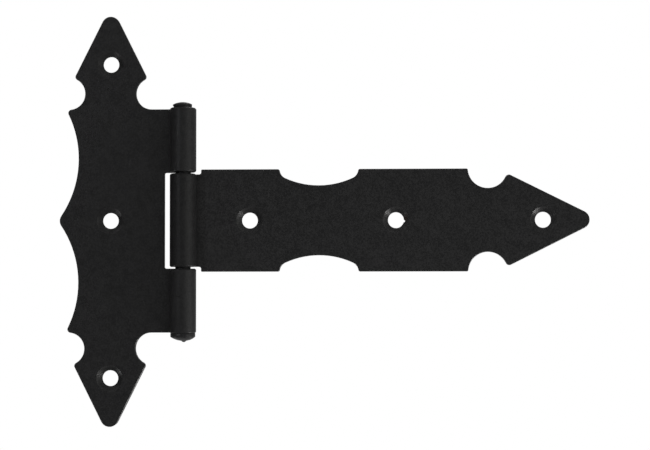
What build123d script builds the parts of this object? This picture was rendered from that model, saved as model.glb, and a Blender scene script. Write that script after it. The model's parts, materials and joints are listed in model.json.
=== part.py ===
from build123d import *

import os
from math import asin, atan, cos, degrees, radians, sin, sqrt

# Ornamental T-hinge for a gate, a shed door or a chest: an upright jamb leaf, a long strap and a rivet pin.
# Frame: +Z runs up along the pin, +X runs out to the tip of the strap, and -Y faces the viewer.
# The backs of both leaves lie on the plane Y = 0. The origin is the middle screw hole of the jamb leaf.

# Sheet and pin
sheet = 2.0              # thickness of both leaves
pin_diameter = 5.8
running_clearance = 0.05 # all round the pin, inside the knuckles
touching = 0.001         # two places this close are the same place
axis_x = 28.2            # from the jamb leaf's screw holes to the pin
knuckle_bore = pin_diameter / 2 + running_clearance
knuckle_outside = knuckle_bore + sheet
axis_y = -knuckle_outside

# Knuckles
strap_knuckle = 35.0     # length of the middle knuckle, which is also the width of the strap's neck
end_gap = 0.65           # between the middle knuckle and its neighbours
seam_gap = 0.25          # from the end of the roll to the leaf that it closes on
slot_depth = 7.5         # from the pin to the closed side of the slot in the jamb leaf
slot_corner = 0.6

# Screw holes
screw_hole = 6.0
countersink_mouth = 10.0
hole_land = 0.4          # straight wall left behind the countersink
jamb_tip_hole = 18.2     # from each arrow tip of the jamb leaf to its screw hole
strap_tip_hole = 17.2    # from the arrow tip of the strap to its last screw hole
strap_first_hole = 24.8  # from the pin
chip_radius = 0.45       # the chip in the rim of the strap's middle hole
chip_angle = -7.0        # its place round the rim, from +X

# Arrow points, which close the jamb leaf above and below and the strap at its far end
arrow_slope = 2.0        # length of an arrow point over its half width
tip_round = 3.5
barb_round = 1.3
edge_break = 0.25        # sheared edges and knuckle rims of both sheets, softened under the coating

# Jamb leaf outline, from the screw holes
jamb_tip = 77.8          # to the end of each arrow point
jamb_notch_radius = 6.1
jamb_notch_x = 15.8
jamb_top = 42.3          # half the height of the straight body
horn_bearing = -101.8    # from each left notch's centre to the horn below it, in degrees from +X
side_curve_radius = 38.7
middle_point = 20.05     # to the middle point, before its rounding
middle_point_round = 3.5

# Strap outline, from the pin
strap_tip = 152.5
shoulder = 6.4           # where the neck ends
shoulder_step = 1.85     # how much wider the strap is than its neck, on each side
shoulder_round = 0.8
strap_corner_round = 0.4
waist_centre = 51.0
waist_half_length = 14.9
waist_depth = 6.15
waist_end_radius = 3.7
waist_corner_round = 0.7
strap_notch_radius = 7.5
strap_tip_notch = 37.95  # from the arrow tip of the strap to the notch centres
strap_notch_offset = 0.15 # how far the notch centre lies outside the strap's edge
strap_notch_corner = 0.5

# Rivet pin
head_diameter = 9.3
head_edge = 1.35
head_rise = 1.6
head_bulge = 0.2         # how far the underside stands out from a plain cone
nib_radius = 1.1
nib_rise = 0.5
nib_flat = 0.35
peen_neck = 0.45         # plain shank showing above the upper knuckle
peen_flare = 0.55        # height over which the end spreads
peen_spread = 0.7        # how far it spreads past the shank
peen_edge = 0.35
peen_rise = 1.1

arrow_angle = atan(1 / arrow_slope)
slot_half = strap_knuckle / 2 + end_gap
strap_half = strap_knuckle / 2 + shoulder_step
jamb_notch_z = jamb_top + jamb_notch_radius


def bearing(centre, point):
    """Direction from a centre to a point, in degrees."""
    return Vector(1, 0).get_signed_angle(point - centre, Vector(0, 0, 1))


def line_meets_circle(start, direction, centre, radius):
    """First point at which a straight edge from start runs into a circle."""
    along = (centre - start).dot(direction)
    off = (centre - start - direction * along).length
    return start + direction * (along - sqrt(radius**2 - off**2))


def arc(centre, start, end, turn):
    """Arc about a centre, counter-clockwise for turn = 1 and clockwise for turn = -1."""
    first = bearing(centre, start)
    sweep = (turn * (bearing(centre, end) - first)) % 360 * turn
    return CenterArc(centre, (start - centre).length, first, sweep)


def rounded(face, corners):
    """Rounds the named corners of a flat face, and their mirror images below the long axis."""
    for point, radius in corners:
        for height in sorted({point.Y, -point.Y}):
            corner = face.vertices().sort_by_distance(Vector(point.X, height))[0]
            face = fillet(corner, radius)
    return face


def mirrored_blank(upper_edges):
    """Closes an upper half outline with its mirror image below the long axis."""
    lower_edges = [mirror(edge, about=Plane.XZ) for edge in upper_edges]
    return make_face(Curve() + upper_edges + lower_edges)


def jamb_outline():
    """Flat outline of the jamb leaf: arrow points, horns, a blunt middle point and the knuckle slot."""
    slot_end = Vector(axis_x - slot_depth, 0)
    slot_inner = Vector(axis_x - slot_depth, slot_half)
    slot_mouth = Vector(axis_x, slot_half)
    top_right = Vector(axis_x, jamb_top)
    notch_right = Vector(jamb_notch_x, jamb_notch_z)
    notch_left = Vector(-jamb_notch_x, jamb_notch_z)
    notch_foot = Vector(jamb_notch_x, jamb_top)
    apex = Vector(0, jamb_tip + tip_round * (1 / sin(arrow_angle) - 1))
    down_right = Vector(sin(arrow_angle), -cos(arrow_angle))
    down_left = Vector(-sin(arrow_angle), -cos(arrow_angle))
    barb_right = line_meets_circle(apex, down_right, notch_right, jamb_notch_radius)
    barb_left = line_meets_circle(apex, down_left, notch_left, jamb_notch_radius)
    horn = notch_left + Vector(jamb_notch_radius, 0).rotate(Axis.Z, horn_bearing)
    middle = Vector(-middle_point, 0)
    blank = mirrored_blank([
        Line(slot_end, slot_inner),
        Line(slot_inner, slot_mouth),
        Line(slot_mouth, top_right),
        Line(top_right, notch_foot),
        arc(notch_right, notch_foot, barb_right, -1),
        Line(barb_right, apex),
        Line(apex, barb_left),
        arc(notch_left, barb_left, horn, -1),
        RadiusArc(horn, middle, side_curve_radius),
    ])
    return rounded(blank, [
        (slot_inner, slot_corner),
        (barb_right, barb_round),
        (apex, tip_round),
        (barb_left, barb_round),
        (horn, barb_round),
        (middle, middle_point_round),
    ])


def strap_outline():
    """Flat outline of the strap: neck, shoulders, waisted cut-outs, round notches and the arrow point."""
    neck_mouth = Vector(axis_x, strap_knuckle / 2)
    neck_root = Vector(axis_x + shoulder, strap_knuckle / 2)
    shoulder_top = Vector(axis_x + shoulder, strap_half)
    waist_x = axis_x + waist_centre
    end_x = waist_half_length - waist_end_radius
    end_left = Vector(waist_x - end_x, strap_half)
    end_right = Vector(waist_x + end_x, strap_half)
    middle_radius = (end_x**2 + waist_depth**2 - waist_end_radius**2) / (2 * (waist_depth - waist_end_radius))
    middle_centre = Vector(waist_x, strap_half - waist_depth + middle_radius)
    waist_start = end_left - Vector(waist_end_radius, 0)
    waist_stop = end_right + Vector(waist_end_radius, 0)
    join_left = end_left + (end_left - middle_centre).normalized() * waist_end_radius
    join_right = end_right + (end_right - middle_centre).normalized() * waist_end_radius
    notch = Vector(axis_x + strap_tip - strap_tip_notch, strap_half + strap_notch_offset)
    notch_start = notch - Vector(sqrt(strap_notch_radius**2 - strap_notch_offset**2), strap_notch_offset)
    apex = Vector(axis_x + strap_tip + tip_round * (1 / sin(arrow_angle) - 1), 0)
    up_left = Vector(-cos(arrow_angle), sin(arrow_angle))
    barb = line_meets_circle(apex, up_left, notch, strap_notch_radius)
    blank = mirrored_blank([
        Line(Vector(axis_x, 0), neck_mouth),
        Line(neck_mouth, neck_root),
        Line(neck_root, shoulder_top),
        Line(shoulder_top, waist_start),
        arc(end_left, waist_start, join_left, 1),
        arc(middle_centre, join_left, join_right, 1),
        arc(end_right, join_right, waist_stop, 1),
        Line(waist_stop, notch_start),
        arc(notch, notch_start, barb, 1),
        Line(barb, apex),
    ])
    return rounded(blank, [
        (neck_root, shoulder_round),
        (shoulder_top, strap_corner_round),
        (waist_start, waist_corner_round),
        (waist_stop, waist_corner_round),
        (notch_start, strap_notch_corner),
        (barb, barb_round),
        (apex, tip_round),
    ])


def screw_holes(places):
    """Tools for countersunk holes, their mouths on the front face, at (X, Z) places."""
    shank = Cylinder(screw_hole / 2, 2 * sheet)
    sink_depth = sheet - hole_land
    sink = Cone(screw_hole / 2, countersink_mouth / 2, sink_depth)
    sink = Pos(0, 0, sheet - sink_depth / 2) * sink
    tool = Plane.XZ * (shank + sink)
    return [Pos(x, 0, z) * tool for x, z in places]


def knuckle(low, high, roll_turn):
    """Sheet rolled round the pin, from straight behind it until the end closes on the leaf's front face.

    roll_turn is -1 where the roll goes clockwise seen from above and 1 where it goes the other way.
    """
    end_height = knuckle_outside - sheet - seam_gap
    wrap = 270 + degrees(asin(end_height / knuckle_outside))
    centre = Vector(axis_x, axis_y)
    outer = CenterArc(centre, knuckle_outside, 90, roll_turn * wrap)
    inner = CenterArc(centre, knuckle_bore, 90, roll_turn * wrap)
    section = make_face(Curve() + [
        outer,
        Line(outer @ 1, inner @ 1),
        inner,
        Line(inner @ 0, outer @ 0),
    ])
    return Pos(0, 0, low) * extrude(section, high - low, dir=(0, 0, 1))


def is_knuckle_rim(edge):
    """True for an arc about the pin, outside or inside a knuckle."""
    off = edge.arc_center - Vector(axis_x, axis_y, edge.arc_center.Z)
    return off.length < touching


def on_flat_face(edge):
    """True for an edge of the blank's front or back face, but not where the roll leaves that face."""
    low, high = edge.bounding_box().min, edge.bounding_box().max
    flat = any(abs(low.Y - y) < touching and abs(high.Y - y) < touching for y in (-sheet, 0))
    return flat and max(abs(low.X - axis_x), abs(high.X - axis_x)) > touching


def rolled_leaf(outline, knuckles):
    """Sheet blank with its back on Y = 0, its knuckles rolled on and its sheared edges broken."""
    leaf = extrude(Plane.XZ * outline, sheet)
    for roll in knuckles:
        leaf += roll
    rims = leaf.edges().filter_by(GeomType.CIRCLE).filter_by(is_knuckle_rim)
    return chamfer(leaf.edges().filter_by(on_flat_face) + rims, edge_break)


def jamb_leaf():
    """Upright leaf with the upper and lower knuckles."""
    knuckles = [knuckle(slot_half, jamb_top, -1), knuckle(-jamb_top, -slot_half, -1)]
    places = [(0, row * (jamb_tip - jamb_tip_hole)) for row in (-1, 0, 1)]
    return rolled_leaf(jamb_outline(), knuckles) - screw_holes(places)


def strap_leaf():
    """Long leaf with the middle knuckle, and the small chip in the rim of its middle screw hole."""
    half = strap_knuckle / 2
    pitch = (strap_tip - strap_tip_hole - strap_first_hole) / 2
    places = [(axis_x + strap_first_hole + row * pitch, 0) for row in range(3)]
    leaf = rolled_leaf(strap_outline(), [knuckle(-half, half, 1)]) - screw_holes(places)
    chip = Pos(screw_hole / 2 * cos(radians(chip_angle)), screw_hole / 2 * sin(radians(chip_angle)))
    chip = Plane.XZ * chip * Cylinder(chip_radius, 2 * sheet)
    return leaf - Pos(places[1][0], 0, 0) * chip


def hinge_pin():
    """Rivet pin: a head with a domed underside and a nib below, a shank, and a spread end above."""
    shank = pin_diameter / 2
    head = head_diameter / 2
    spread = shank + peen_spread
    seat = -jamb_top
    rim = seat - head_edge
    dome = rim - head_rise
    nib = dome - nib_rise
    flare_start = jamb_top + peen_neck
    flare_end = flare_start + peen_flare
    crown_start = flare_end + peen_edge
    crown = crown_start + peen_rise
    crown_radius = (spread**2 + peen_rise**2) / (2 * peen_rise)
    profile = make_face(Curve() + [
        Polyline((0, nib), (nib_flat, nib), (nib_radius, dome)),
        SagittaArc((nib_radius, dome), (head, rim), -head_bulge),
        Polyline((head, rim), (head, seat), (shank, seat), (shank, flare_start)),
        Polyline((shank, flare_start), (spread, flare_end), (spread, crown_start)),
        RadiusArc((spread, crown_start), (0, crown), -crown_radius),
        Line((0, crown), (0, nib)),
    ])
    return Pos(axis_x, axis_y, 0) * revolve(Plane.XZ * profile, Axis.Z)


os.makedirs("parts", exist_ok=True)
export_step(jamb_leaf(), "parts/jamb_leaf.step")
export_step(strap_leaf(), "parts/strap_leaf.step")
export_step(hinge_pin(), "parts/hinge_pin.step")
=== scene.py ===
import json
from math import cos, pi, radians, sin, sqrt

import bpy
from bpy.props import FloatProperty, FloatVectorProperty, IntProperty, PointerProperty
from mathutils import Matrix, Vector


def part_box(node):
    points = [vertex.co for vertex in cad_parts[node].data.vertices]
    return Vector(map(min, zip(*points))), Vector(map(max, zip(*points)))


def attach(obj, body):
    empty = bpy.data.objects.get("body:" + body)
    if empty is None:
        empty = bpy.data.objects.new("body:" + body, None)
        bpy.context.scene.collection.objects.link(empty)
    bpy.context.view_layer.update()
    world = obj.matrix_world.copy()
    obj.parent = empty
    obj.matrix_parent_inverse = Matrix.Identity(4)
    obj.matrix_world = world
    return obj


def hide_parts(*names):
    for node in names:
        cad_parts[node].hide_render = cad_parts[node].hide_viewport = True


bl_info = {
    "name": "Ornamental T-Hinge",
    "version": (1, 0, 0),
    "blender": (4, 5, 0),
    "location": "3D View > Sidebar > Hinge",
    "description": "Models and coats an ornamental T-hinge: two rolled sheet leaves and a rivet pin",
    "category": "Mesh",
}

# All sizes are in metres. X runs out along the strap, Z up along the pin, and -Y faces the viewer.
MM = 0.001
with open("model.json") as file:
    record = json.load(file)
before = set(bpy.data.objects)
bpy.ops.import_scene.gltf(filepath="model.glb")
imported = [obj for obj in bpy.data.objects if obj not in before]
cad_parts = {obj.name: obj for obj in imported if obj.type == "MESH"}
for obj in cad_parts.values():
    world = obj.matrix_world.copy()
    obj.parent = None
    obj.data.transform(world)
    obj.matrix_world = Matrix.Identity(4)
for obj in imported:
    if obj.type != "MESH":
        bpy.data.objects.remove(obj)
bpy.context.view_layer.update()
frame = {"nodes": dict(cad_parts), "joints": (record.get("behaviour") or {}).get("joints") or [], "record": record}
PIN_AXIS = Vector(frame["joints"][0]["pos_m"])
PIN_LOW, PIN_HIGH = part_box("hinge_pin")
KNUCKLE_RADIUS = -PIN_AXIS.y
RIM_BREAK = 0.25 * MM        # the knuckle rims' own break, before they are rounded
MERGE = 0.002 * MM           # corners closer than this are one corner
FLAT_ANGLE = radians(0.3)    # faces that turn less than this are one face
DOME_STEPS = 8               # rings across each dome of the pin
HAMMER_SEED = 11             # chooses the hammer marks on the pin's crown
HAMMER_SMOOTHINGS = 3        # how many times the marks are evened out
HAMMER_SOFTNESS = 0.5        # how far each time
LEVEL_DIGITS = 6             # heights are told apart to a thousandth of a millimetre
BLACK = (0.0, 0.0, 0.0)
WHITE = (1.0, 1.0, 1.0)

# The mounts that name the outer two of each row of three screw holes: their spacing and its direction
SCREW_ROWS = {
    "jamb_screws": ("spacing_y_mm", Vector((0, 0, 1))),
    "strap_screws": ("spacing_x_mm", Vector((1, 0, 0))),
}
COUNTERSINK_RADIUS = 5.0 * MM   # at the mouth
CONE_SLOPE = (0.5, 0.9)      # how squarely a countersink's faces look to the front, from 0 to 1

# Soft lamps: azimuth and elevation in degrees, distance, width, height and colour
SOFT_LAMPS = {
    "key": (57, 0, 1.7, 1.45, 1.0, (1.0, 1.0, 0.95)),
    "low": (84, -38, 0.83, 0.24, 0.24, (1.0, 0.99, 0.98)),
    "left": (-36, 15, 1.7, 0.16, 0.6, (0.94, 0.95, 1.0)),
    "fill": (-72, 42, 1.7, 1.00, 1.0, (1.0, 1.0, 1.0)),
    "low_left": (-84, -32, 0.83, 0.20, 0.20, (1.0, 1.0, 1.0)),
    "top": (160, 58, 1.6, 0.50, 0.50, (1.0, 1.0, 1.0)),
}
LIGHT_SIDE = Vector((0.6, -0.5, 0.6)).normalized()   # where the soft light from all round is strongest
SOFT_FADE = (-0.3, 1.0)      # how squarely a direction looks to that side where the light is least and most
BEHIND_FADE = (0.0, 0.9)     # the same to the back, where the backdrop starts and where it is full

FLOOR_MIDDLE = (0.1, -0.9)
FLOOR_SIZE = (5.0, 4.4, 1.0)
FLOOR_PAINT = (0.35, 0.35, 0.35, 1.0)
FLOOR_GLOW = 0.7             # how much of the floor is plain white to the camera
CLIP_START = 10 * MM

# The coat's noises: sizes in grains, detail, shifts of their patterns, and their shares in its patches
MOTTLE_SIZE = 5
CLOUD_SIZE = 80
FINE_DETAIL = 3.0
CLOUD_DETAIL = 2.0
NOISE_ROUGHNESS = 0.6
MOTTLE_SHIFT = 0.31
CLOUD_SHIFT = 0.77
GRAIN_SHARE = 0.78
MOTTLE_SHARE = 0.15
CLOUD_SHARE = 0.07
PATCH_RANGE = (0.40, 0.60)   # patches from deep to pale

# The coat's surface
COAT_MIRROR = 0.2            # how strongly it mirrors, where 0.5 is plain plastic
MOTTLE_HEIGHT = 0.8          # height of the mottle, in grain depths
BUMP_STRENGTH = 0.6
GLOSS_RANGE = (0.3, 0.7)     # mottle from smoothest to roughest
GLOSS_SPREAD = 0.06          # how far the roughness strays to each side
WORN_GLOSS = 0.12            # how much smoother a worn edge is
WORN_RANGE = (0.42, 0.62)    # mottle from sound to worn, along an edge
LEAST_WEAR = 0.15            # share of the wear that the soundest edge has

# Small marks, at the places that they have on the front faces, each with half its size
FRONT = -2.0 * MM            # front faces of both leaves
FRONT_REACH = 1.5 * MM       # how deep a mark reaches
PIT = Vector((-0.95 * MM, FRONT, 50.15 * MM))
PIT_HALF = Vector((0.42 * MM, FRONT_REACH, 0.42 * MM))
KNUCKLE_SCUFF = Vector((27.3 * MM, -9.9 * MM, -28.5 * MM))
SCUFF_HALF = Vector((1.3 * MM, FRONT_REACH, 0.22 * MM))
PIT_COLOUR = (0.002, 0.002, 0.002)
PIT_SHARE = 0.85             # how far a pit takes this colour
PIT_DEPTH = 4.0              # depth of a pit, in grain depths
STAIN = Vector((111.75 * MM, FRONT, 0.75 * MM))
STAIN_HALF = Vector((1.1 * MM, 3.0 * MM, 2.1 * MM))
STAIN_HARDNESS = 0.2         # share of its size within which the stain is full
STAIN_RANGE = (0.35, 0.6)    # grain from faint to strong stain
STAIN_SHARES = (0.35, 0.9)   # how far the stain takes its colour there
SCRATCH_HALF_WIDTH = 0.16 * MM
SCRATCH_SHARE = 0.3          # how far a scratch takes the worn colour, and its depth in grain depths
# x, z, half length and lean from upright of each fine scratch
STRAP_SCRATCHES = [
    (60.2 * MM, 10.6 * MM, 3.2 * MM, radians(3)),
    (73.9 * MM, 3.1 * MM, 4.2 * MM, radians(-4)),
    (75.9 * MM, -7.3 * MM, 2.4 * MM, radians(9)),
    (86.5 * MM, 9.6 * MM, 3.0 * MM, radians(5)),
    (124.0 * MM, -5.5 * MM, 3.4 * MM, radians(-38)),
    (141.5 * MM, 4.5 * MM, 2.6 * MM, radians(24)),
]
JAMB_SCRATCHES = [
    (7.5 * MM, 22.0 * MM, 2.6 * MM, radians(12)),
    (13.0 * MM, -31.0 * MM, 3.0 * MM, radians(-20)),
]


class HingeSheetSizes(bpy.types.PropertyGroup):
    """How the sheared and rolled edges of both leaves are softened under the coating."""

    edge_round: FloatProperty(
        name="Edge Round", description="Width of the rounding on each side of a broken edge",
        default=0.08 * MM, min=0.0, unit="LENGTH", subtype="DISTANCE", precision=5)
    edge_steps: IntProperty(
        name="Edge Steps", description="Faces across each rounding", default=2, min=1, max=6)
    rim_round: FloatProperty(
        name="Rim Round", description="How much further the knuckles' outer rims are drawn in",
        default=0.2 * MM, min=0.0, unit="LENGTH", subtype="DISTANCE", precision=5)
    rim_steps: IntProperty(
        name="Rim Steps", description="Faces across each edge of a rim's rounding",
        default=3, min=1, max=8)
    edge_angle: FloatProperty(
        name="Edge Angle", description="Edges sharper than this are rounded",
        default=radians(33), unit="ROTATION", subtype="ANGLE")
    worn_width: FloatProperty(
        name="Worn Width", description="Faces narrower than this count as edges, where the coat is thin",
        default=0.36 * MM, min=0.0, unit="LENGTH", subtype="DISTANCE", precision=5)


class HingePinSizes(bpy.types.PropertyGroup):
    """Sizes of the rivet pin, from its head below to its peened end above."""

    shank_diameter: FloatProperty(
        name="Shank Diameter", description="Diameter of the pin inside the knuckles",
        default=5.8 * MM, unit="LENGTH", subtype="DISTANCE", precision=5)
    head_edge: FloatProperty(
        name="Head Edge", description="Height of the head's straight rim",
        default=1.35 * MM, unit="LENGTH", subtype="DISTANCE", precision=5)
    head_rise: FloatProperty(
        name="Head Rise", description="How far the head's underside domes out",
        default=1.5 * MM, unit="LENGTH", subtype="DISTANCE", precision=5)
    head_bulge: FloatProperty(
        name="Head Bulge", description="How far the underside stands out from a plain cone",
        default=0.2 * MM, unit="LENGTH", subtype="DISTANCE", precision=5)
    head_shift: FloatProperty(
        name="Head Shift",
        description="How far the underside's lowest part lies to the right of the pin's axis",
        default=0.35 * MM, unit="LENGTH", subtype="DISTANCE", precision=5)
    nib_radius: FloatProperty(
        name="Nib Radius", description="Radius of the small nib where it leaves the dome",
        default=1.0 * MM, unit="LENGTH", subtype="DISTANCE", precision=5)
    nib_rise: FloatProperty(
        name="Nib Rise", description="How far the nib stands out of the dome",
        default=0.6 * MM, unit="LENGTH", subtype="DISTANCE", precision=5)
    nib_flat: FloatProperty(
        name="Nib Flat", description="Radius of the nib's flat end",
        default=0.35 * MM, unit="LENGTH", subtype="DISTANCE", precision=5)
    nib_wear: FloatProperty(
        name="Nib Wear", description="How much of the nib's end is worn off",
        default=0.12 * MM, unit="LENGTH", subtype="DISTANCE", precision=5)
    peen_flare: FloatProperty(
        name="Peen Flare", description="Height over which the upper end spreads",
        default=0.98 * MM, unit="LENGTH", subtype="DISTANCE", precision=5)
    peen_root: FloatProperty(
        name="Peen Root", description="How far the spread end already stands past the shank at its foot",
        default=0.3 * MM, unit="LENGTH", subtype="DISTANCE", precision=5)
    peen_spread: FloatProperty(
        name="Peen Spread", description="How far the upper end spreads past the shank",
        default=0.7 * MM, unit="LENGTH", subtype="DISTANCE", precision=5)
    peen_edge: FloatProperty(
        name="Peen Edge", description="Height of the spread end's rim",
        default=0.35 * MM, unit="LENGTH", subtype="DISTANCE", precision=5)
    peen_rise: FloatProperty(
        name="Peen Rise", description="How far the hammered crown domes up",
        default=1.1 * MM, unit="LENGTH", subtype="DISTANCE", precision=5)
    peen_flatten: FloatProperty(
        name="Peen Flatten", description="How much the hammering lowers the crown",
        default=0.2 * MM, unit="LENGTH", subtype="DISTANCE", precision=5)
    peen_shift: FloatProperty(
        name="Peen Shift", description="How far the crown is hammered over to the left",
        default=0.25 * MM, unit="LENGTH", subtype="DISTANCE", precision=5)
    peen_dent: FloatProperty(
        name="Peen Dent", description="How deep the hammer marks on the crown are",
        default=0.05 * MM, unit="LENGTH", subtype="DISTANCE", precision=5)
    peen_lean: FloatProperty(
        name="Peen Lean", description="How far the crown leans to the left",
        default=radians(1.5), unit="ROTATION", subtype="ANGLE")
    segments: IntProperty(
        name="Segments", description="Faces round the pin", default=96, min=24, max=256)


class HingeCoat(bpy.types.PropertyGroup):
    """The fine-textured black powder coat."""

    deep_colour: FloatVectorProperty(
        name="Deep Colour", description="The coat in its darkest patches",
        default=(0.0074, 0.0074, 0.0076), size=3, subtype="COLOR", min=0.0, max=1.0)
    pale_colour: FloatVectorProperty(
        name="Pale Colour", description="The coat in its palest patches",
        default=(0.0138, 0.0137, 0.0138), size=3, subtype="COLOR", min=0.0, max=1.0)
    wear_and_sheen_colour: FloatVectorProperty(
        name="Worn Colour", description="The coat where edges have been handled",
        default=(0.030, 0.029, 0.028), size=3, subtype="COLOR", min=0.0, max=1.0)
    stain_colour: FloatVectorProperty(
        name="Stain Colour", description="Brown stain beside the chipped screw hole",
        default=(0.028, 0.018, 0.013), size=3, subtype="COLOR", min=0.0, max=1.0)
    roughness: FloatProperty(
        name="Roughness", description="Mean roughness of the coat", default=0.35, min=0.0, max=1.0)
    cone_roughness: FloatProperty(
        name="Countersink Roughness", description="How much rougher the coat in the countersinks is",
        default=0.03, min=0.0, max=0.4)
    roll_roughness: FloatProperty(
        name="Knuckle Roughness", description="How much rougher the coat on the rolled knuckles is",
        default=0.05, min=0.0, max=0.4)
    grain_size: FloatProperty(
        name="Grain Size", description="Size of the coat's fine grain",
        default=0.6 * MM, min=0.05 * MM, unit="LENGTH", subtype="DISTANCE", precision=5)
    grain_depth: FloatProperty(
        name="Grain Depth", description="Depth of the coat's fine grain",
        default=0.1 * MM, unit="LENGTH", subtype="DISTANCE", precision=6)


class HingeStage(bpy.types.PropertyGroup):
    """Camera, soft lamps, floor and surroundings."""

    target: FloatVectorProperty(
        name="Target", description="The point at the middle of the view",
        default=(81.5 * MM, -2.0 * MM, -1.8 * MM), size=3, subtype="XYZ")
    distance: FloatProperty(
        name="Distance", description="From the target to the camera",
        default=452.3 * MM, unit="LENGTH", subtype="DISTANCE")
    azimuth: FloatProperty(
        name="Azimuth", description="How far the camera stands to the right of straight ahead",
        default=radians(1.7), unit="ROTATION", subtype="ANGLE")
    elevation: FloatProperty(
        name="Elevation", description="How far the camera stands above the target",
        default=radians(-1.67), unit="ROTATION", subtype="ANGLE")
    roll: FloatProperty(
        name="Roll", description="Turn of the camera about its own line of sight",
        default=radians(-0.1), unit="ROTATION", subtype="ANGLE")
    focal_pixels: FloatProperty(
        name="Focal Length in Pixels", description="Focal length over the size of one pixel of the image",
        default=1200.0, min=1.0)
    image_width: IntProperty(
        name="Image Width", description="Width of the image in pixels", default=650, min=1)
    key_power: FloatProperty(
        name="Key Power", description="Power of the soft lamp at the right", default=3.1, unit="POWER")
    low_power: FloatProperty(
        name="Low Power", description="Power of the lamp low at the far right", default=6.2, unit="POWER")
    left_power: FloatProperty(
        name="Left Power", description="Power of the narrow lamp at the left", default=2.9, unit="POWER")
    fill_power: FloatProperty(
        name="Fill Power", description="Power of the wide lamp high at the far left",
        default=2.4, unit="POWER")
    low_left_power: FloatProperty(
        name="Low Left Power", description="Power of the lamp low at the far left",
        default=0.9, unit="POWER")
    top_power: FloatProperty(
        name="Top Power", description="Power of the soft lamp above and behind", default=4.0, unit="POWER")
    surround_low: FloatProperty(
        name="Surround Low", description="Soft light from the darker side all round",
        default=0.10, min=0.0)
    surround_high: FloatProperty(
        name="Surround High", description="Soft light from the lighter side all round",
        default=1.60, min=0.0)
    mirrored_share: FloatProperty(
        name="Mirrored Share", description="How much of the soft light the coat mirrors",
        default=0.15, min=0.0, max=1.0)
    pale_side: FloatProperty(
        name="Pale Side", description="What the coat mirrors from the backdrop behind",
        default=0.35, min=0.0)
    back_light: FloatProperty(
        name="Back Light", description="Soft light from the backdrop on the hinge's back",
        default=0.8, min=0.0)
    floor_height: FloatProperty(
        name="Floor Height", description="Height of the floor from the middle screw hole",
        default=-0.65, unit="LENGTH", subtype="DISTANCE")


def deselect_all():
    """Leaves edit mode and clears the selection."""
    if bpy.context.object and bpy.context.object.mode != "OBJECT":
        bpy.ops.object.mode_set(mode="OBJECT")
    bpy.ops.object.select_all(action="DESELECT")


def make_active(piece):
    """Selects one object only."""
    deselect_all()
    piece.select_set(True)
    bpy.context.view_layer.objects.active = piece


def select_vertices(piece, wanted):
    """In object mode, selects the vertices whose place satisfies a test, and nothing else."""
    mesh = piece.data
    mesh.polygons.foreach_set("select", [False] * len(mesh.polygons))
    mesh.edges.foreach_set("select", [False] * len(mesh.edges))
    mesh.vertices.foreach_set("select", [wanted(vertex.co) for vertex in mesh.vertices])
    bpy.context.tool_settings.mesh_select_mode = (True, False, False)


def select_edges(piece, wanted):
    """In object mode, selects the edges whose two ends satisfy a test, for work on edges."""
    mesh = piece.data
    select_vertices(piece, wanted)
    chosen = [all(mesh.vertices[index].select for index in edge.vertices) for edge in mesh.edges]
    mesh.edges.foreach_set("select", chosen)
    bpy.context.tool_settings.mesh_select_mode = (False, True, False)


def bevel_sharp_edges(piece, angle, width, steps):
    """Rounds every edge sharper than an angle."""
    make_active(piece)
    bpy.ops.object.modifier_add(type="BEVEL")
    bevel = piece.modifiers[-1]
    bevel.limit_method = "ANGLE"
    bevel.angle_limit = angle
    bevel.offset_type = "OFFSET"
    bevel.width = width
    bevel.segments = steps
    bevel.use_clamp_overlap = True
    bpy.ops.object.modifier_apply(modifier=bevel.name)


def smooth_finish(piece, angle):
    """Smooth shading that keeps large faces flat and rounds only their edges."""
    make_active(piece)
    bpy.ops.object.shade_smooth_by_angle(angle=angle)
    bpy.ops.object.modifier_add(type="WEIGHTED_NORMAL")
    weighted = piece.modifiers[-1]
    weighted.mode = "FACE_AREA"
    weighted.keep_sharp = True
    bpy.ops.object.modifier_apply(modifier=weighted.name)


def pin_distance(place):
    """Distance of a point from the pin's centre line."""
    return (place - PIN_AXIS).xy.length


def on_ring(radius, height):
    """Test for a point of the ring of this radius and height round the pin, in front of the leaves."""
    return lambda place: (abs(pin_distance(place) - radius) < MERGE and abs(place.z - height) < MERGE
                          and place.y < FRONT - RIM_BREAK)


def knuckle_ends(piece):
    """(height, outwards) of each knuckle end, where outwards is 1 at an upper end and -1 at a lower one."""
    at_side = [corner.co for corner in piece.data.vertices
               if abs(pin_distance(corner.co) - KNUCKLE_RADIUS) < MERGE and corner.co.y < FRONT - RIM_BREAK]
    levels = sorted({round(place.z, LEVEL_DIGITS) for place in at_side})
    # From below, a lower end and an upper end take turns
    ends = [(level, 1 if index % 2 else -1) for index, level in enumerate(levels)]
    return [(level + outwards * RIM_BREAK, outwards) for level, outwards in ends]


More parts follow.
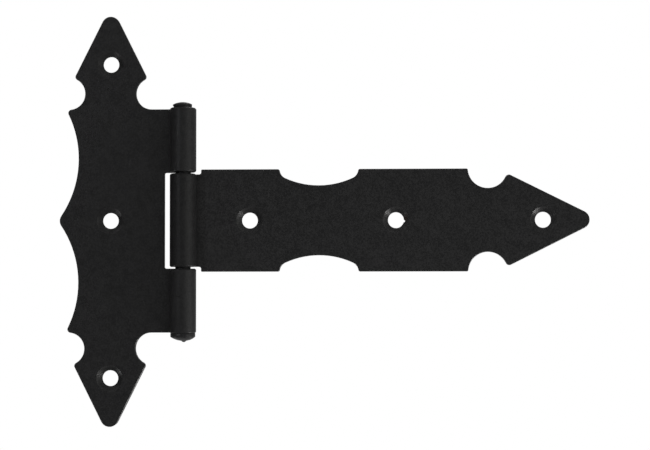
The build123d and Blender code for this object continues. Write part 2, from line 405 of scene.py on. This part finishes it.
def round_knuckle_rims(piece, depth, steps):
    """Draws in the outer rims of the knuckles, as the rolling leaves them."""
    make_active(piece)
    inner_radius = KNUCKLE_RADIUS - RIM_BREAK
    share = (inner_radius - depth) / inner_radius
    for height, outwards in knuckle_ends(piece):
        side = height - outwards * RIM_BREAK
        select_vertices(piece, on_ring(KNUCKLE_RADIUS, side))
        bpy.ops.object.mode_set(mode="EDIT")
        bpy.ops.transform.translate(value=(0, 0, -outwards * depth))
        bpy.ops.object.mode_set(mode="OBJECT")
        select_vertices(piece, on_ring(inner_radius, height))
        bpy.ops.object.mode_set(mode="EDIT")
        bpy.ops.transform.resize(value=(share, share, 1), center_override=(PIN_AXIS.x, PIN_AXIS.y, height))
        bpy.ops.object.mode_set(mode="OBJECT")
        rings = (on_ring(KNUCKLE_RADIUS, side - outwards * depth), on_ring(inner_radius - depth, height))
        for ring in rings:
            select_edges(piece, ring)
            bpy.ops.object.mode_set(mode="EDIT")
            bpy.ops.mesh.bevel(
                offset=depth / 2, offset_type="OFFSET", segments=steps, clamp_overlap=True)
            bpy.ops.object.mode_set(mode="OBJECT")


def mark_faces(piece, name, wanted):
    """Face attribute of this name: 1 on the faces that satisfy a test, 0 elsewhere."""
    chosen = [1.0 if wanted(face) else 0.0 for face in piece.data.polygons]
    marks = piece.data.attributes.new(name, "FLOAT", "FACE")
    marks.data.foreach_set("value", chosen)


def mark_worn_edges(piece, width):
    """Marks the narrow faces along the sheet's cut edges, where the coat is thin."""
    mesh = piece.data

    def narrow(face):
        if pin_distance(face.center) < KNUCKLE_RADIUS + MERGE:
            return False
        corners = [mesh.vertices[index].co for index in face.vertices]
        around = sum((corner - corners[i - 1]).length for i, corner in enumerate(corners))
        return 2 * face.area < width * around

    mark_faces(piece, "worn_edge", narrow)


def screw_holes():
    """Centre of each screw hole, on the back face."""
    centres = []
    for mount in frame["record"]["mounts"]:
        if mount["name"] in SCREW_ROWS:
            spacing, along = SCREW_ROWS[mount["name"]]
            half = mount["dims"][spacing] * MM / 2
            centres += [Vector(mount["pos_m"]) + along * step for step in (-half, 0, half)]
    return centres


def mark_rolled(piece):
    """Marks the rolled knuckles."""
    reach = KNUCKLE_RADIUS + MERGE
    mark_faces(piece, "rolled", lambda face: pin_distance(face.center) < reach and face.center.y < FRONT)


def mark_countersinks(piece):
    """Marks the turned cones of the screw holes."""
    holes = screw_holes()
    low, high = CONE_SLOPE

    def on_cone(face):
        near = min((face.center - hole).xz.length for hole in holes) < COUNTERSINK_RADIUS
        return near and low < -face.normal.y < high

    mark_faces(piece, "countersink", on_cone)


def finished_piece(piece, body, node, material):
    """Gives a piece its finish, puts it in its body and hides the solid that it stands for."""
    piece.data.materials.clear()
    piece.data.materials.append(material)
    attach(piece, body)
    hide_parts(node)


def coated_leaf(context, node, name):
    """A leaf worked up from its sheet blank: faces joined, edges rounded under the coating."""
    sizes = context.scene.hinge_sheet
    make_active(frame["nodes"][node])
    bpy.ops.object.duplicate(linked=False)
    piece = context.active_object
    # The copy doesn't keep the labels and the parent that the solid itself has
    for key in list(piece.keys()):
        del piece[key]
    piece.parent = None
    piece.name = name
    piece.data.name = name
    bpy.ops.object.mode_set(mode="EDIT")
    bpy.ops.mesh.customdata_custom_splitnormals_clear()
    bpy.ops.mesh.select_all(action="SELECT")
    bpy.ops.mesh.remove_doubles(threshold=MERGE)
    bpy.ops.mesh.dissolve_limited(angle_limit=FLAT_ANGLE)
    bpy.ops.object.mode_set(mode="OBJECT")
    round_knuckle_rims(piece, sizes.rim_round, sizes.rim_steps)
    bevel_sharp_edges(piece, sizes.edge_angle, sizes.edge_round, sizes.edge_steps)
    mark_worn_edges(piece, sizes.worn_width)
    mark_countersinks(piece)
    mark_rolled(piece)
    smooth_finish(piece, sizes.edge_angle)
    return piece


def dome_rings(radius, rise, base, count):
    """Rings of a shallow dome: its radius at each height, up to a small flat at the top."""
    sphere = (radius**2 + rise**2) / (2 * rise)
    rings = []
    for step in range(1, count + 1):
        ring_radius = radius * (1 - step / (count + 1))
        rings.append((ring_radius, base + sqrt(sphere**2 - ring_radius**2) - sphere + rise))
    return rings


def bulged_rings(start, end, bulge, count):
    """Rings along a slope between two (radius, height) points that stands out a little in the middle."""
    rings = []
    for step in range(1, count):
        share = step / count
        out = bulge * sin(pi * share)
        rings.append((start[0] + (end[0] - start[0]) * share + out,
                      start[1] + (end[1] - start[1]) * share - out))
    return rings


def turned_piece(name, axis, rings, segments):
    """A turned solid, drawn up ring by ring and closed at both ends.

    Each ring is its radius, its height and how far its centre lies to the right of the axis.
    """
    deselect_all()
    radius, height, shift = rings[0]
    bpy.ops.mesh.primitive_circle_add(
        vertices=segments, radius=radius, fill_type="NGON", location=(axis.x + shift, axis.y, height))
    piece = bpy.context.active_object
    piece.name = name
    piece.data.name = name
    bpy.ops.object.transform_apply(location=True, rotation=True, scale=True)
    bpy.ops.object.mode_set(mode="EDIT")
    bpy.ops.mesh.select_all(action="SELECT")
    for next_radius, next_height, next_shift in rings[1:]:
        share = next_radius / radius
        bpy.ops.mesh.extrude_region_move(
            TRANSFORM_OT_translate={"value": (next_shift - shift, 0, next_height - height)})
        bpy.ops.transform.resize(
            value=(share, share, 1), center_override=(axis.x + next_shift, axis.y, next_height))
        radius, height, shift = next_radius, next_height, next_shift
    bpy.ops.mesh.select_all(action="SELECT")
    bpy.ops.mesh.normals_make_consistent(inside=False)
    bpy.ops.object.mode_set(mode="OBJECT")
    return piece


def pin_rings(sizes):
    """(radius, height, shift) of each ring of the pin, from the nib below to the crown above."""
    shank = sizes.shank_diameter / 2
    head = (PIN_HIGH.x - PIN_LOW.x) / 2
    spread = shank + sizes.peen_spread
    dome = PIN_LOW.z + sizes.nib_rise
    rim = dome + sizes.head_rise
    seat = rim + sizes.head_edge
    crown_start = PIN_HIGH.z - sizes.peen_rise
    flare_end = crown_start - sizes.peen_edge
    flare_start = flare_end - sizes.peen_flare
    rings = [
        (sizes.nib_flat, PIN_LOW.z + sizes.nib_wear),
        (sizes.nib_radius, dome),
        *bulged_rings((sizes.nib_radius, dome), (head, rim), sizes.head_bulge, DOME_STEPS),
        (head, rim),
        (head, seat),
        (shank, seat),
        (shank, flare_start),
        (shank + sizes.peen_root, flare_start),
        (spread, flare_end),
        (spread, crown_start),
        *dome_rings(spread, sizes.peen_rise - sizes.peen_flatten, crown_start, DOME_STEPS),
    ]
    # The underside's rings lie further to the right the lower they are, by the whole shift at the nib
    shares = [min(1.0, max(0.0, (rim - height) / sizes.head_rise)) for radius, height in rings]
    return [(*ring, share * sizes.head_shift) for ring, share in zip(rings, shares)]


def hammer_crown(piece, sizes):
    """Dents the crown and pushes it over to the left, as the hammer leaves it."""
    crown_start = PIN_HIGH.z - sizes.peen_rise
    flare_middle = crown_start - sizes.peen_edge - sizes.peen_flare / 2
    dents_low = crown_start + sizes.peen_edge
    select_vertices(piece, lambda place: place.z > dents_low)
    bpy.ops.object.mode_set(mode="EDIT")
    bpy.ops.transform.vertex_random(offset=sizes.peen_dent, uniform=0.0, normal=1.0, seed=HAMMER_SEED)
    bpy.ops.mesh.vertices_smooth(factor=HAMMER_SOFTNESS, repeat=HAMMER_SMOOTHINGS)
    bpy.ops.object.mode_set(mode="OBJECT")
    select_vertices(piece, lambda place: place.z > flare_middle)
    bpy.ops.object.mode_set(mode="EDIT")
    bpy.ops.transform.translate(value=(-sizes.peen_shift, 0, 0))
    bpy.ops.transform.rotate(
        value=sizes.peen_lean, orient_axis="Y", center_override=(PIN_AXIS.x, PIN_AXIS.y, flare_middle))
    bpy.ops.object.mode_set(mode="OBJECT")


def empty_tree(owner):
    """The node tree of a material or world, cleared."""
    owner.use_nodes = True
    owner.node_tree.nodes.clear()
    return owner.node_tree


def node(tree, kind, inputs=None, **settings):
    """Adds a shader node with its settings and its unlinked input values."""
    made = tree.nodes.new(kind)
    for setting, value in settings.items():
        setattr(made, setting, value)
    for socket, value in (inputs or {}).items():
        made.inputs[socket].default_value = value
    return made


def noise(tree, place, size, detail, seed_shift=0.0):
    """Noise of a real grain size at a point of the piece."""
    shifted = node(tree, "ShaderNodeMapping", {"Location": (seed_shift, seed_shift, seed_shift)})
    tree.links.new(place, shifted.inputs["Vector"])
    made = node(tree, "ShaderNodeTexNoise", {
        "Scale": 1 / size, "Detail": detail, "Roughness": NOISE_ROUGHNESS})
    tree.links.new(shifted.outputs["Vector"], made.inputs["Vector"])
    return made.outputs["Fac"]


def remap(tree, value, low, high, to_low=0.0, to_high=1.0):
    """A value smoothly mapped from one range to another."""
    made = node(tree, "ShaderNodeMapRange", {
        "From Min": low, "From Max": high, "To Min": to_low, "To Max": to_high},
        interpolation_type="SMOOTHSTEP")
    tree.links.new(value, made.inputs["Value"])
    return made.outputs["Result"]


def combine(tree, operation, first, second):
    """Two values added, multiplied or otherwise combined, each a socket or a number."""
    made = node(tree, "ShaderNodeMath", operation=operation)
    for index, value in enumerate((first, second)):
        if isinstance(value, (int, float)):
            made.inputs[index].default_value = value
        else:
            tree.links.new(value, made.inputs[index])
    return made.outputs["Value"]


def mix_colour(tree, share, first, second):
    """A mix of two colours, each a socket or a plain colour."""
    made = node(tree, "ShaderNodeMix", data_type="RGBA")
    tree.links.new(share, made.inputs["Factor"])
    colour_inputs = [socket for socket in made.inputs if socket.type == "RGBA"]
    for socket, value in zip(colour_inputs, (first, second)):
        if isinstance(value, bpy.types.NodeSocket):
            tree.links.new(value, socket)
        else:
            socket.default_value = (*value, 1.0)
    return [socket for socket in made.outputs if socket.type == "RGBA"][0]


def face_mark(tree, name):
    """A face attribute's value: 1 on the faces that were marked, 0 elsewhere."""
    return node(tree, "ShaderNodeAttribute", attribute_name=name).outputs["Fac"]


def mark(tree, place, centre, half_size, lean=0.0, hardness=0.45):
    """1 inside an ellipsoid about a point, fading to 0 at its surface."""
    local = node(tree, "ShaderNodeMapping", {
        "Location": centre, "Rotation": (0.0, lean, 0.0), "Scale": half_size},
        vector_type="TEXTURE")
    tree.links.new(place, local.inputs["Vector"])
    length = node(tree, "ShaderNodeVectorMath", operation="LENGTH")
    tree.links.new(local.outputs["Vector"], length.inputs[0])
    return remap(tree, length.outputs["Value"], hardness, 1.0, 1.0, 0.0)


def toned(colour, middle, tone, contrast):
    """A colour moved from the coat's middle colour by a contrast, then lightened by a tone."""
    return [tone * (mid + contrast * (part - mid)) for part, mid in zip(colour, middle)]


def powder_coat(context, name, wear, tone=1.0, contrast=1.0, painted_knuckle_shade=0.0,
                scratches=(), pits=(), stains=()):
    """Fine-textured black powder coat, thin and paler along edges, with its own small marks."""
    coat = context.scene.hinge_coat
    middle = [(deep + pale) / 2 for deep, pale in zip(coat.deep_colour, coat.pale_colour)]
    deep = toned(coat.deep_colour, middle, tone, contrast)
    pale = toned(coat.pale_colour, middle, tone, contrast)
    material = bpy.data.materials.new(name)
    tree = empty_tree(material)
    output = node(tree, "ShaderNodeOutputMaterial")
    shader = node(tree, "ShaderNodeBsdfPrincipled", {"Specular IOR Level": COAT_MIRROR, "Metallic": 0.0})
    tree.links.new(shader.outputs["BSDF"], output.inputs["Surface"])
    place = node(tree, "ShaderNodeTexCoord").outputs["Object"]

    grain = noise(tree, place, coat.grain_size, FINE_DETAIL)
    mottle = noise(tree, place, MOTTLE_SIZE * coat.grain_size, FINE_DETAIL, MOTTLE_SHIFT)
    cloud = noise(tree, place, CLOUD_SIZE * coat.grain_size, CLOUD_DETAIL, CLOUD_SHIFT)
    patches = combine(tree, "MULTIPLY", mottle, MOTTLE_SHARE)
    patches = combine(tree, "ADD", patches, combine(tree, "MULTIPLY", grain, GRAIN_SHARE))
    patches = combine(tree, "ADD", patches, combine(tree, "MULTIPLY", cloud, CLOUD_SHARE))
    colour = mix_colour(tree, remap(tree, patches, *PATCH_RANGE), deep, pale)

    # Painted shade: the rolled knuckles' colour is darkened towards black, standing in for the shade that falls on
    # them
    rolled = face_mark(tree, "rolled")
    colour = mix_colour(tree, combine(tree, "MULTIPLY", rolled, painted_knuckle_shade), colour, BLACK)
    # Paler, smoother coat on the marked faces: wear along the leaves' edges, and on the pin's crown partly wear
    # and partly a painted highlight
    uneven = remap(tree, mottle, *WORN_RANGE, LEAST_WEAR * wear, wear)
    worn = combine(tree, "MULTIPLY", face_mark(tree, "worn_edge"), uneven)
    colour = mix_colour(tree, worn, colour, coat.wear_and_sheen_colour[:])
    for centre, half_size in stains:
        stain = mark(tree, place, centre, half_size, hardness=STAIN_HARDNESS)
        stain = combine(tree, "MULTIPLY", stain, remap(tree, grain, *STAIN_RANGE, *STAIN_SHARES))
        colour = mix_colour(tree, stain, colour, coat.stain_colour[:])

    height = combine(tree, "ADD", grain, combine(tree, "MULTIPLY", mottle, MOTTLE_HEIGHT))
    for x, z, half_length, lean in scratches:
        line = mark(tree, place, (x, FRONT, z), (SCRATCH_HALF_WIDTH, FRONT_REACH, half_length), lean)
        line = combine(tree, "MULTIPLY", line, SCRATCH_SHARE)
        colour = mix_colour(tree, line, colour, coat.wear_and_sheen_colour[:])
        height = combine(tree, "SUBTRACT", height, line)
    for centre, half_size in pits:
        pit = mark(tree, place, centre, half_size)
        colour = mix_colour(tree, combine(tree, "MULTIPLY", pit, PIT_SHARE), colour, PIT_COLOUR)
        height = combine(tree, "SUBTRACT", height, combine(tree, "MULTIPLY", pit, PIT_DEPTH))
    tree.links.new(colour, shader.inputs["Base Color"])

    smoothest = coat.roughness - GLOSS_SPREAD
    rough = remap(tree, mottle, *GLOSS_RANGE, smoothest, coat.roughness + GLOSS_SPREAD)
    rough = combine(tree, "SUBTRACT", rough, combine(tree, "MULTIPLY", worn, WORN_GLOSS))
    cone = face_mark(tree, "countersink")
    rough = combine(tree, "ADD", rough, combine(tree, "MULTIPLY", cone, coat.cone_roughness))
    rough = combine(tree, "ADD", rough, combine(tree, "MULTIPLY", rolled, coat.roll_roughness))
    tree.links.new(rough, shader.inputs["Roughness"])
    bump = node(tree, "ShaderNodeBump", {"Strength": BUMP_STRENGTH, "Distance": coat.grain_depth})
    tree.links.new(height, bump.inputs["Height"])
    tree.links.new(bump.outputs["Normal"], shader.inputs["Normal"])
    return material


class HINGE_OT_jamb_leaf(bpy.types.Operator):
    """Make the upright leaf with its upper and lower knuckles"""

    bl_idname = "hinge.jamb_leaf"
    bl_label = "Jamb Leaf"
    bl_options = {"REGISTER", "UNDO"}

    def execute(self, context):
        piece = coated_leaf(context, "jamb_leaf", "jamb_leaf_coated")
        # Painted shade: this leaf's coat is toned darker than the strap's and its knuckles are darkened, standing
        # in for the dimmer light on them
        coat = powder_coat(
            context, "jamb_coat", wear=0.15, tone=0.93, contrast=0.75, painted_knuckle_shade=0.1,
            scratches=JAMB_SCRATCHES, pits=[(PIT, PIT_HALF), (KNUCKLE_SCUFF, SCUFF_HALF)])
        finished_piece(piece, "jamb", "jamb_leaf", coat)
        return {"FINISHED"}


class HINGE_OT_strap_leaf(bpy.types.Operator):
    """Make the long strap with its middle knuckle"""

    bl_idname = "hinge.strap_leaf"
    bl_label = "Strap Leaf"
    bl_options = {"REGISTER", "UNDO"}

    def execute(self, context):
        piece = coated_leaf(context, "strap_leaf", "strap_leaf_coated")
        # Painted light and shade: this leaf's coat is toned lighter than the jamb's, standing in for the brighter
        # light on it, and its knuckle is darkened, standing in for the shade on it
        coat = powder_coat(
            context, "strap_coat", wear=0.15, tone=1.12, painted_knuckle_shade=0.45,
            scratches=STRAP_SCRATCHES, stains=[(STAIN, STAIN_HALF)])
        finished_piece(piece, "strap", "strap_leaf", coat)
        return {"FINISHED"}


class HINGE_OT_rivet_pin(bpy.types.Operator):
    """Make the rivet pin: domed head with its nib below, hammered crown above"""

    bl_idname = "hinge.rivet_pin"
    bl_label = "Rivet Pin"
    bl_options = {"REGISTER", "UNDO"}

    def execute(self, context):
        sizes = context.scene.hinge_pin_sizes
        sheet = context.scene.hinge_sheet
        piece = turned_piece("rivet_pin", PIN_AXIS, pin_rings(sizes), sizes.segments)
        hammer_crown(piece, sizes)
        bevel_sharp_edges(piece, sheet.edge_angle, sheet.edge_round, sheet.edge_steps)
        crown_start = PIN_HIGH.z - sizes.peen_rise
        # The whole crown is marked for strong wear: partly the hammer's wear, partly a painted highlight on its
        # lit top
        mark_faces(piece, "worn_edge", lambda face: face.center.z > crown_start)
        smooth_finish(piece, sheet.edge_angle)
        coat = powder_coat(context, "pin_coat", wear=0.9)
        finished_piece(piece, "jamb", "hinge_pin", coat)
        return {"FINISHED"}


def direction(azimuth, elevation):
    """Unit vector towards a place seen from the target: azimuth 0 is the viewer's side."""
    return Vector((sin(azimuth) * cos(elevation), -cos(azimuth) * cos(elevation), sin(elevation)))


def add_camera(stage):
    """The camera at the photograph's angle."""
    turn = (Matrix.Rotation(stage.azimuth, 3, "Z")
            @ Matrix.Rotation(pi / 2 - stage.elevation, 3, "X")
            @ Matrix.Rotation(stage.roll, 3, "Z"))
    place = Vector(stage.target) + stage.distance * direction(stage.azimuth, stage.elevation)
    deselect_all()
    bpy.ops.object.camera_add(location=place, rotation=turn.to_euler())
    camera = bpy.context.active_object
    camera.name = "front_camera"
    camera.data.sensor_fit = "HORIZONTAL"
    camera.data.lens = camera.data.sensor_width * stage.focal_pixels / stage.image_width
    camera.data.clip_start = CLIP_START
    bpy.context.scene.camera = camera


def add_soft_lamp(name, stage, power, azimuth, elevation, distance, width, height, colour):
    """A rectangular soft lamp that faces the middle of the hinge."""
    towards = direction(radians(azimuth), radians(elevation))
    place = Vector(stage.target) + distance * towards
    deselect_all()
    bpy.ops.object.light_add(
        type="AREA", location=place, rotation=towards.to_track_quat("Z", "Y").to_euler())
    lamp = bpy.context.active_object
    lamp.name = name
    lamp.data.shape = "RECTANGLE"
    lamp.data.size = width
    lamp.data.size_y = height
    lamp.data.energy = power
    lamp.data.color = colour


def add_floor(stage):
    """Plain pale floor, well below the hinge."""
    deselect_all()
    bpy.ops.mesh.primitive_plane_add(size=1.0, location=(*FLOOR_MIDDLE, stage.floor_height))
    floor = bpy.context.active_object
    floor.name = "pale_floor"
    floor.scale = FLOOR_SIZE
    bpy.ops.object.transform_apply(location=True, rotation=True, scale=True)
    material = bpy.data.materials.new("pale_floor")
    tree = empty_tree(material)
    output = node(tree, "ShaderNodeOutputMaterial")
    paint = node(tree, "ShaderNodeBsdfDiffuse", {"Color": FLOOR_PAINT})
    glow = node(tree, "ShaderNodeEmission", {"Color": (*WHITE, 1.0), "Strength": 1.0})
    rays = node(tree, "ShaderNodeLightPath")
    mixed = node(tree, "ShaderNodeMixShader")
    seen = combine(tree, "MULTIPLY", rays.outputs["Is Camera Ray"], FLOOR_GLOW)
    tree.links.new(seen, mixed.inputs["Fac"])
    tree.links.new(paint.outputs["BSDF"], mixed.inputs[1])
    tree.links.new(glow.outputs["Emission"], mixed.inputs[2])
    tree.links.new(mixed.outputs["Shader"], output.inputs["Surface"])
    floor.data.materials.append(material)


def set_surroundings(stage):
    """White backdrop for what is seen, soft even light for what is lit."""
    world = bpy.data.worlds.new("soft_surroundings")
    bpy.context.scene.world = world
    tree = empty_tree(world)
    output = node(tree, "ShaderNodeOutputWorld")
    background = node(tree, "ShaderNodeBackground", {"Strength": 1.0})
    tree.links.new(background.outputs["Background"], output.inputs["Surface"])
    rays = node(tree, "ShaderNodeLightPath")
    split = node(tree, "ShaderNodeSeparateXYZ")
    looking = node(tree, "ShaderNodeTexCoord").outputs["Generated"]
    tree.links.new(looking, split.inputs["Vector"])
    facing = node(tree, "ShaderNodeVectorMath", {1: LIGHT_SIDE}, operation="DOT_PRODUCT")
    tree.links.new(looking, facing.inputs[0])
    soft = remap(tree, facing.outputs["Value"], *SOFT_FADE, stage.surround_low, stage.surround_high)
    behind = remap(tree, split.outputs["Y"], *BEHIND_FADE)
    mirrored = combine(tree, "MULTIPLY", soft, stage.mirrored_share)
    mirrored = combine(tree, "MAXIMUM", mirrored, combine(tree, "MULTIPLY", behind, stage.pale_side))
    soft = combine(tree, "MAXIMUM", soft, combine(tree, "MULTIPLY", behind, stage.back_light))
    chosen = node(tree, "ShaderNodeMix", data_type="FLOAT")
    tree.links.new(rays.outputs["Is Glossy Ray"], chosen.inputs["Factor"])
    tree.links.new(soft, chosen.inputs["A"])
    tree.links.new(mirrored, chosen.inputs["B"])
    level = node(tree, "ShaderNodeCombineColor")
    for channel in ("Red", "Green", "Blue"):
        tree.links.new(chosen.outputs["Result"], level.inputs[channel])
    seen = combine(tree, "MAXIMUM", rays.outputs["Is Camera Ray"], rays.outputs["Is Transmission Ray"])
    colour = mix_colour(tree, seen, level.outputs["Color"], WHITE)
    tree.links.new(colour, background.inputs["Color"])


class HINGE_OT_stage(bpy.types.Operator):
    """Set up the camera, the soft lamps, the floor and the white surroundings"""

    bl_idname = "hinge.stage"
    bl_label = "Stage"
    bl_options = {"REGISTER", "UNDO"}

    def execute(self, context):
        stage = context.scene.hinge_stage
        add_camera(stage)
        for name, lamp in SOFT_LAMPS.items():
            add_soft_lamp(f"{name}_lamp", stage, getattr(stage, f"{name}_power"), *lamp)
        add_floor(stage)
        set_surroundings(stage)
        context.scene.view_settings.view_transform = "Standard"
        return {"FINISHED"}


class HINGE_PT_parts(bpy.types.Panel):
    """Lists the hinge's pieces and their sizes"""

    bl_label = "Ornamental T-Hinge"
    bl_idname = "HINGE_PT_parts"
    bl_space_type = "VIEW_3D"
    bl_region_type = "UI"
    bl_category = "Hinge"

    def draw(self, context):
        layout = self.layout
        for operator in PIECE_OPERATORS:
            layout.operator(operator.bl_idname)
        for group in SETTINGS:
            box = layout.box()
            box.label(text=group)
            for prop in SETTINGS[group].__annotations__:
                box.prop(getattr(context.scene, group), prop)


PIECE_OPERATORS = [HINGE_OT_jamb_leaf, HINGE_OT_strap_leaf, HINGE_OT_rivet_pin, HINGE_OT_stage]
SETTINGS = {
    "hinge_sheet": HingeSheetSizes,
    "hinge_pin_sizes": HingePinSizes,
    "hinge_coat": HingeCoat,
    "hinge_stage": HingeStage,
}


def register():
    for cls in [*SETTINGS.values(), *PIECE_OPERATORS, HINGE_PT_parts]:
        bpy.utils.register_class(cls)
    for name, group in SETTINGS.items():
        setattr(bpy.types.Scene, name, PointerProperty(type=group))


def unregister():
    for name in SETTINGS:
        delattr(bpy.types.Scene, name)
    for cls in [HINGE_PT_parts, *reversed(PIECE_OPERATORS), *reversed(SETTINGS.values())]:
        bpy.utils.unregister_class(cls)


def main():
    register()
    bpy.ops.hinge.stage()
    bpy.ops.hinge.jamb_leaf()
    bpy.ops.hinge.strap_leaf()
    bpy.ops.hinge.rivet_pin()


if __name__ == "__main__":
    main()
